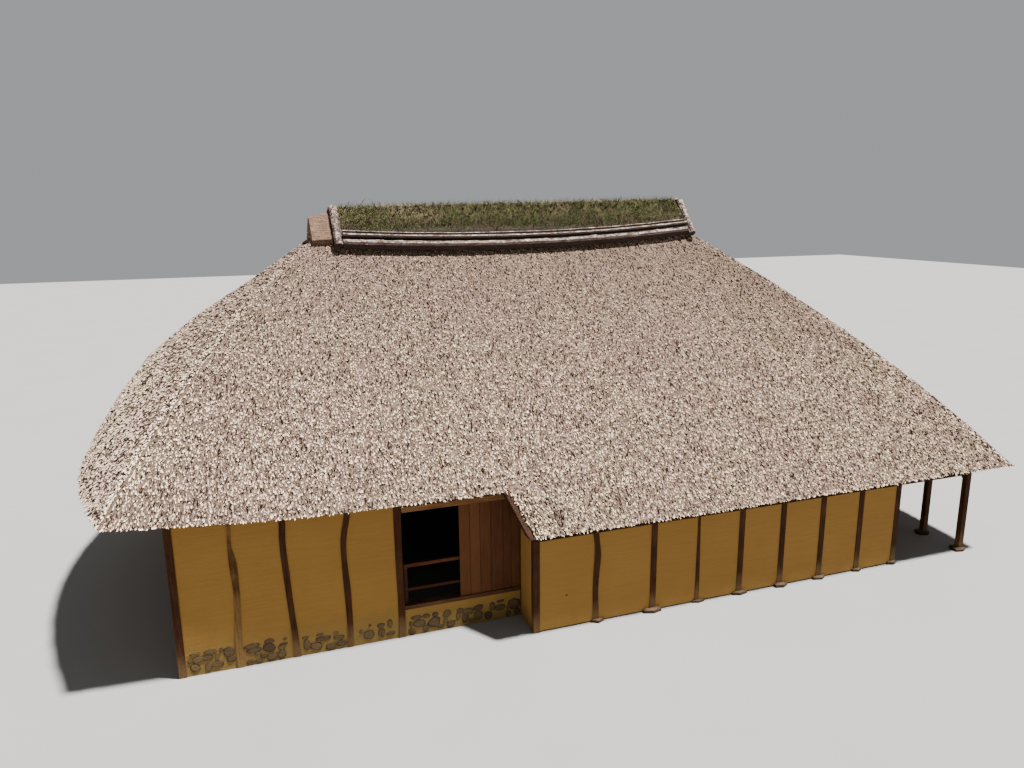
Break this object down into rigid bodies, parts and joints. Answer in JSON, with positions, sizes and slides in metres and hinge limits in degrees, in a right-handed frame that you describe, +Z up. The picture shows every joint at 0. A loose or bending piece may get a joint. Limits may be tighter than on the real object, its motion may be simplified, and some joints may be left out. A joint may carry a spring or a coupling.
{
  "type": "minka farmhouse with a thatched hip roof and a turf ridge",
  "caption": "Thatched farmhouse with a turf ridge, clay walls between dark posts, a stepped front with a board-shuttered window, and an open bay under the right end.",
  "frame": {"origin": "centre of the base at ground level, under the middle of the roof's outline", "axes": "+Z up, the front with the shuttered window towards -Y, the long side along X"},
  "size_m": [19.0546, 10.23, 7.715],
  "materials": {
    "clay": "matte ochre clay plaster",
    "dark_wood": "dark weathered timber",
    "board_wood": "red-brown weathered boards",
    "pale_wood": "pale brown timber",
    "thatch": "weathered grey-beige thatch",
    "bark": "pale weathered bark",
    "turf": "dry turf",
    "bamboo": "smoked bamboo and poles"
  },
  "bodies": {
    "root": {"front_left_wall": "clay", "front_window_wall": "clay", "front_right_wall": "clay", "front_step_wall": "clay", "back_step_wall": "clay", "back_left_wall": "clay", "back_right_wall_1": "clay", "back_right_wall_2": "clay", "left_end_wall": "clay", "right_end_wall": "clay", "left_post_1": "dark_wood", "left_post_2": "dark_wood", "left_post_3": "dark_wood", "left_post_4": "dark_wood", "left_post_5": "dark_wood", "right_post_bowed": "dark_wood", "right_post_tapered": "dark_wood", "front_main_frame": "dark_wood", "front_lower_frame": "dark_wood", "back_main_frame": "dark_wood", "back_lower_frame": "dark_wood", "left_end_frame": "dark_wood", "right_end_frame": "dark_wood", "open_bay_frame": "dark_wood", "front_window_sill": "dark_wood", "back_window_sill": "dark_wood", "roof_trusses": "dark_wood", "front_window_shutter": "board_wood", "back_window_shutter": "board_wood", "back_window_inner_shutter": "board_wood", "front_window_lintel": "pale_wood", "back_window_lintel": "pale_wood", "front_window_guard": "pale_wood", "front_thatch": "thatch", "back_thatch": "thatch", "left_thatch": "thatch", "right_thatch": "thatch", "left_ridge_saddle": "thatch", "front_ridge_roll": "bark", "back_ridge_roll": "bark", "front_ridge_pole": "bark", "back_ridge_pole": "bark", "left_ridge_end_roll": "bark", "right_ridge_end_roll": "bark", "turf_ridge": "turf", "front_rafters": "bamboo", "back_rafters": "bamboo", "left_rafters": "bamboo", "right_rafters": "bamboo"}
  },
  "joints": []
}
